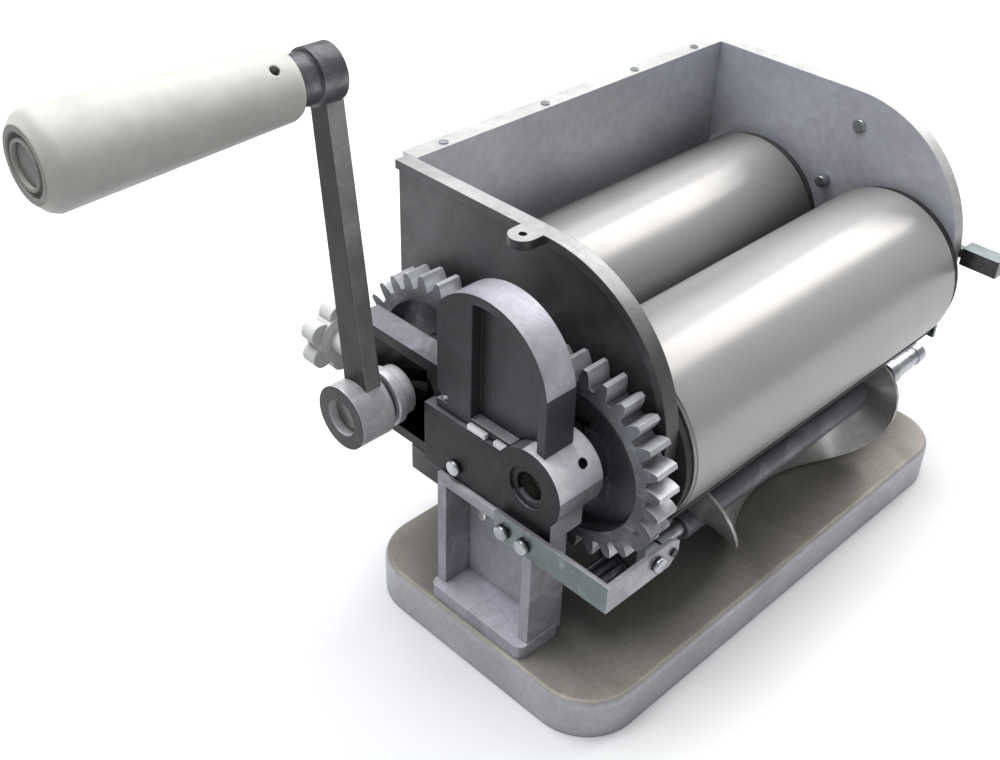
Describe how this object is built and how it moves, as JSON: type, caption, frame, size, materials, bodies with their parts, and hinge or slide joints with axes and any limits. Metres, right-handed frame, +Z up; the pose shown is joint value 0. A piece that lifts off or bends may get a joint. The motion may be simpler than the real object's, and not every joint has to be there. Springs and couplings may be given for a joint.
{
  "type": "hand crank tortilla press",
  "caption": "Hand cranked dough press: crank, meshed gears, two smooth rollers under an open hopper, a round cutter below them, on a thick base plate.",
  "frame": {"origin": "middle of the underside of the base plate", "axes": "+X along the rollers away from the crank, -Y to the front where the tortillas come out, +Z up"},
  "size_m": [0.4148, 0.1882, 0.267],
  "materials": {
    "cast_aluminium": "satin cast",
    "polished_cast": "ground cast",
    "base_metal": "satin cast",
    "roller_metal": "fine turned satin",
    "gear_metal": "as cast, worn bright on the teeth",
    "steel": "satin",
    "dark_steel": "dark",
    "zinc_plate": "zinc plated",
    "bush_metal": "turned",
    "white_plastic": "moulded",
    "grip_plastic": "smooth",
    "seal_plastic": "matt"
  },
  "bodies": {
    "frame": {"base_plate": "base_metal", "foot_screws": "dark_steel", "near_pedestal": "cast_aluminium", "far_pedestal": "cast_aluminium", "bearing_head": "cast_aluminium", "raised_pads": "polished_cast", "head_screws": "steel", "gear_guard": "polished_cast", "guard_bolts": "steel", "spacer_pillars": "steel", "near_cheek": "cast_aluminium", "far_cheek": "polished_cast", "back_wall": "polished_cast", "rim_screws": "dark_steel", "wall_screw": "steel", "nip_studs": "steel", "far_bearing_plate": "cast_aluminium", "plate_screws": "steel", "cheek_bushes": "bush_metal", "head_bush": "bush_metal", "boss_set_screw": "dark_steel", "near_block": "dark_steel", "far_block": "dark_steel", "crank_bush": "steel", "near_seals": "seal_plastic", "far_seals": "seal_plastic", "cutter_bushes": "bush_metal", "strap": "zinc_plate", "strap_screws": "steel", "arm_screw": "steel", "stripping_wire": "dark_steel", "wire_post": "zinc_plate", "side_tab": "dark_steel", "tab_screw": "steel", "rear_scraper": "steel", "scraper_bar": "steel"},
    "crank": {"crank_shaft": "steel", "rear_roller": "roller_metal", "rear_gear": "gear_metal", "rear_gear_pin": "dark_steel", "crank_arm": "polished_cast", "crank_pin": "dark_steel", "grip_spindle": "steel", "grip_cap": "steel"},
    "front_roll": {"front_shaft": "steel", "front_roller": "roller_metal", "front_gear": "gear_metal", "front_gear_pin": "dark_steel"},
    "cutter": {"cutter_shaft": "steel", "cutter_tube": "cast_aluminium", "cutter_band": "steel", "cutter_collar": "gear_metal", "cutter_nut": "steel"},
    "grip": {"grip": "grip_plastic"},
    "near_adjuster": {"adjust_knob": "white_plastic", "adjust_screw": "steel"},
    "far_adjuster": {"far_adjust_bolt": "dark_steel"}
  },
  "joints": [
    {"name": "crank_turn", "type": "hinge", "parent": "frame", "child": "crank", "pos_m": [0, 0.06, 0.106], "axis": [1, 0, 0], "continuous": true},
    {"name": "front_roller_turn", "type": "hinge", "parent": "frame", "child": "front_roll", "pos_m": [0, -0.021, 0.106], "axis": [1, 0, 0], "continuous": true},
    {"name": "cutter_turn", "type": "hinge", "parent": "frame", "child": "cutter", "pos_m": [0, -0.035, 0.04444], "axis": [1, 0, 0], "continuous": true},
    {"name": "grip_spin", "type": "hinge", "parent": "crank", "child": "grip", "pos_m": [-0.2, 0.06, 0.251], "axis": [1, 0, 0], "continuous": true},
    {"name": "near_knob_turn", "type": "hinge", "parent": "frame", "child": "near_adjuster", "pos_m": [-0.116, 0.1, 0.106], "axis": [0, 1, 0], "range_deg": [-180, 180]},
    {"name": "far_bolt_turn", "type": "hinge", "parent": "frame", "child": "far_adjuster", "pos_m": [0.1355, 0, 0.1215], "axis": [0, 1, 0], "range_deg": [-180, 180]}
  ],
  "couplings": [
    {"joint": "front_roller_turn", "follows": "crank_turn", "ratio": -1},
    {"joint": "cutter_turn", "follows": "crank_turn", "ratio": 1.7441}
  ]
}
